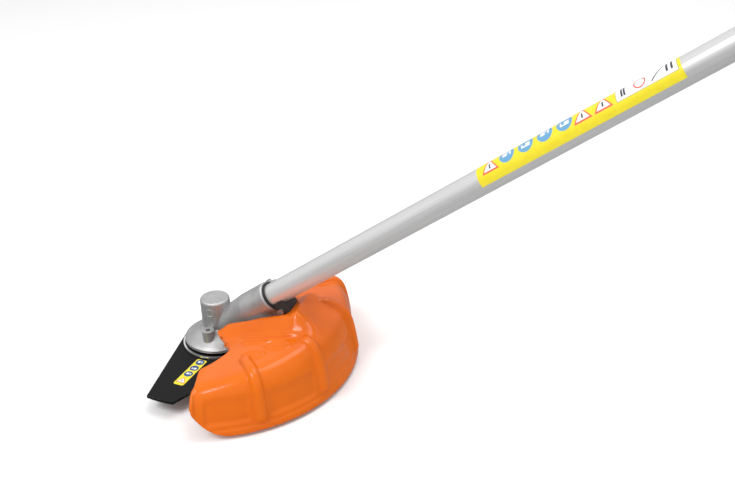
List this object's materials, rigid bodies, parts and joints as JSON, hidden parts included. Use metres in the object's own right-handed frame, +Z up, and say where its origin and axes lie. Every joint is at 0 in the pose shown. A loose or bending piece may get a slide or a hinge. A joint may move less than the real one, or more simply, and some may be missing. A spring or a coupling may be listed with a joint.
{
  "type": "brush cutter",
  "caption": "Straight-shaft petrol brush cutter with a two-wing blade, orange deflector, bike handlebar and rear power head.",
  "frame": {"origin": "output spin axis at the underside of the riding plate, where the cutting head rests on the ground", "axes": "+Z up the output spin axis, +X towards the operator with the drive tube rising at 35.5 degrees in the XZ plane, +Y to the operator's right"},
  "size_m": [1.4194, 0.5929, 1.0934],
  "materials": {
    "gear_housing": "die-cast gear housing with the tube socket",
    "grease_plug": "grease filler plug",
    "output_shaft": "output shaft",
    "crown_gear": "crown bevel gear on the output shaft",
    "head_bearings": "four ball bearings of the gear head",
    "circlips": "retaining rings of the gear head bearings",
    "pinion": "bevel pinion with its shaft",
    "thrust_plate": "thrust plate above the blade",
    "blade": "two-wing cutting blade",
    "blade_label": "printed film on the blade",
    "thrust_washer": "thrust washer under the blade",
    "riding_plate": "riding plate that glides on the ground",
    "arbor_nut": "left-hand collar nut",
    "deflector": "orange moulded deflector",
    "guard_bracket": "bracket that carries the deflector",
    "guard_screws": "deflector and bracket screws",
    "tube_clamp_screws": "screws that clamp the pieces on the tube",
    "socket_seal": "seal ring at the socket mouth",
    "shaft_tube": "drive tube",
    "drive_shaft": "drive shaft inside the tube",
    "drive_bushes": "guide bushes of the drive shaft",
    "tube_label": "printed film on the tube",
    "carrying_ring": "carrying ring for the harness hook",
    "handle_base": "upper half of the handle support with the swivel post",
    "handle_under_clamp": "lower half of the handle support",
    "handlebar_clamp_lower": "lower half of the handlebar clamp",
    "handlebar_clamp_cap": "upper half of the handlebar clamp",
    "wing_screw": "plain and wing-headed clamp screws",
    "handlebar": "bent handlebar tube",
    "left_grip": "left hand grip",
    "control_handle_left": "left shell of the control handle",
    "control_handle_right": "right shell of the control handle",
    "throttle_trigger": "throttle trigger",
    "trigger_lockout": "trigger lockout paddle",
    "lever_pins": "pivot pins of trigger and lockout",
    "stop_switch": "engine stop switch",
    "clutch_housing": "clutch housing that clamps on the tube",
    "engine_bearings": "drum bearing and crankshaft main bearings",
    "clutch_drum": "clutch drum",
    "clutch_shoes": "centrifugal clutch shoes and their spring",
    "flywheel": "flywheel with cooling vanes",
    "crankcase": "crankcase with the fan scroll",
    "crankshaft": "crankshaft",
    "piston": "piston with pin and rod",
    "cylinder": "finned cylinder",
    "spark_plug": "spark plug",
    "plug_boot": "spark plug boot",
    "muffler": "muffler",
    "carburettor": "carburettor with its spacer",
    "throttle_valve": "throttle spindle and lever",
    "air_filter": "air filter element",
    "air_filter_cover": "air filter cover",
    "choke_lever": "choke lever",
    "primer_bulb": "primer bulb",
    "engine_cover": "engine top shroud",
    "starter_housing": "recoil starter housing",
    "starter_pulley": "recoil starter pulley",
    "starter_grip": "recoil starter grip",
    "fuel_tank": "fuel tank with its foot",
    "fuel_cap": "fuel filler cap"
  },
  "bodies": {
    "frame": {"gear_housing": "gear_housing", "grease_plug": "grease_plug", "head_bearings": "head_bearings", "circlips": "circlips", "deflector": "deflector", "guard_bracket": "guard_bracket", "guard_screws": "guard_screws", "tube_clamp_screws": "tube_clamp_screws", "socket_seal": "socket_seal", "shaft_tube": "shaft_tube", "drive_bushes": "drive_bushes", "tube_label": "tube_label", "carrying_ring": "carrying_ring", "handle_base": "handle_base", "handle_under_clamp": "handle_under_clamp", "clutch_housing": "clutch_housing", "engine_bearings": "engine_bearings", "crankcase": "crankcase", "piston": "piston", "cylinder": "cylinder", "spark_plug": "spark_plug", "plug_boot": "plug_boot", "muffler": "muffler", "carburettor": "carburettor", "air_filter": "air_filter", "air_filter_cover": "air_filter_cover", "engine_cover": "engine_cover", "starter_housing": "starter_housing", "fuel_tank": "fuel_tank"},
    "tool": {"output_shaft": "output_shaft", "crown_gear": "crown_gear", "thrust_plate": "thrust_plate", "blade": "blade", "blade_label": "blade_label", "thrust_washer": "thrust_washer", "riding_plate": "riding_plate", "arbor_nut": "arbor_nut"},
    "drive": {"pinion": "pinion", "drive_shaft": "drive_shaft", "clutch_drum": "clutch_drum"},
    "crank": {"crankshaft": "crankshaft", "flywheel": "flywheel", "clutch_shoes": "clutch_shoes"},
    "handle_clamp": {"handlebar_clamp_lower": "handlebar_clamp_lower", "handlebar_clamp_cap": "handlebar_clamp_cap", "wing_screw": "wing_screw"},
    "handlebar": {"handlebar": "handlebar", "left_grip": "left_grip", "control_handle_left": "control_handle_left", "control_handle_right": "control_handle_right", "lever_pins": "lever_pins"},
    "trigger": {"throttle_trigger": "throttle_trigger"},
    "lockout": {"trigger_lockout": "trigger_lockout"},
    "stop": {"stop_switch": "stop_switch"},
    "valve": {"throttle_valve": "throttle_valve"},
    "choke": {"choke_lever": "choke_lever"},
    "primer": {"primer_bulb": "primer_bulb"},
    "pulley": {"starter_pulley": "starter_pulley"},
    "pull": {"starter_grip": "starter_grip"},
    "cap": {"fuel_cap": "fuel_cap"}
  },
  "joints": [
    {"name": "tool_spin", "type": "hinge", "parent": "frame", "child": "tool", "pos_m": [0, 0, 0.042], "axis": [0, 0, 1], "continuous": true},
    {"name": "drive_spin", "type": "hinge", "parent": "frame", "child": "drive", "pos_m": [0, 0, 0.0422], "axis": [0.8141, 0, 0.5807], "continuous": true},
    {"name": "crank_spin", "type": "hinge", "parent": "frame", "child": "crank", "pos_m": [1.22117, 0, 0.91325], "axis": [0.8141, 0, 0.5807], "continuous": true},
    {"name": "handlebar_swivel", "type": "hinge", "parent": "frame", "child": "handle_clamp", "pos_m": [0.81299, 0, 0.67614], "axis": [-0.5807, 0, 0.8141], "range_deg": [0, 90]},
    {"name": "handlebar_tilt", "type": "hinge", "parent": "handle_clamp", "child": "handlebar", "pos_m": [0.81299, 0, 0.67614], "axis": [0, 1, 0], "range_deg": [-20, 20]},
    {"name": "trigger_pull", "type": "hinge", "parent": "handlebar", "child": "trigger", "pos_m": [0.81361, 0.2375, 0.78655], "axis": [-0.4225, 0.9064, 0], "range_deg": [-14, 0], "stiffness_Nm_per_rad": 0.4},
    {"name": "lockout_press", "type": "hinge", "parent": "handlebar", "child": "lockout", "pos_m": [0.83689, 0.24835, 0.82575], "axis": [-0.4225, 0.9064, 0], "range_deg": [0, 6], "stiffness_Nm_per_rad": 0.3},
    {"name": "stop_slide", "type": "slide", "parent": "handlebar", "child": "stop", "axis": [0.9004, 0.4197, 0.1144], "range_m": [0, 0.0065]},
    {"name": "valve_turn", "type": "hinge", "parent": "frame", "child": "valve", "pos_m": [1.23263, -0.056, 1.00741], "axis": [-0.5807, 0, 0.8141], "range_deg": [0, 70]},
    {"name": "choke_turn", "type": "hinge", "parent": "frame", "child": "choke", "pos_m": [1.21124, -0.1, 1.01672], "axis": [0, 1, 0], "range_deg": [0, 60]},
    {"name": "primer_press", "type": "slide", "parent": "frame", "child": "primer", "axis": [0, 1, 0], "range_m": [0, 0.003], "stiffness_N_per_m": 400},
    {"name": "pulley_turn", "type": "hinge", "parent": "frame", "child": "pulley", "pos_m": [1.31317, 0, 0.97887], "axis": [0.8141, 0, 0.5807], "range_deg": [0, 1400]},
    {"name": "starter_pull", "type": "slide", "parent": "frame", "child": "pull", "axis": [-0.5807, 0, 0.8141], "range_m": [0, 0.6]},
    {"name": "cap_turn", "type": "hinge", "parent": "frame", "child": "cap", "pos_m": [1.32463, -0.06, 0.90598], "axis": [0, 1, 0], "range_deg": [0, 90]}
  ],
  "couplings": [
    {"joint": "drive_spin", "follows": "tool_spin", "ratio": -1.3529},
    {"joint": "valve_turn", "follows": "trigger_pull", "ratio": -5},
    {"joint": "pulley_turn", "follows": "starter_pull", "rad_per_m": 40}
  ]
}
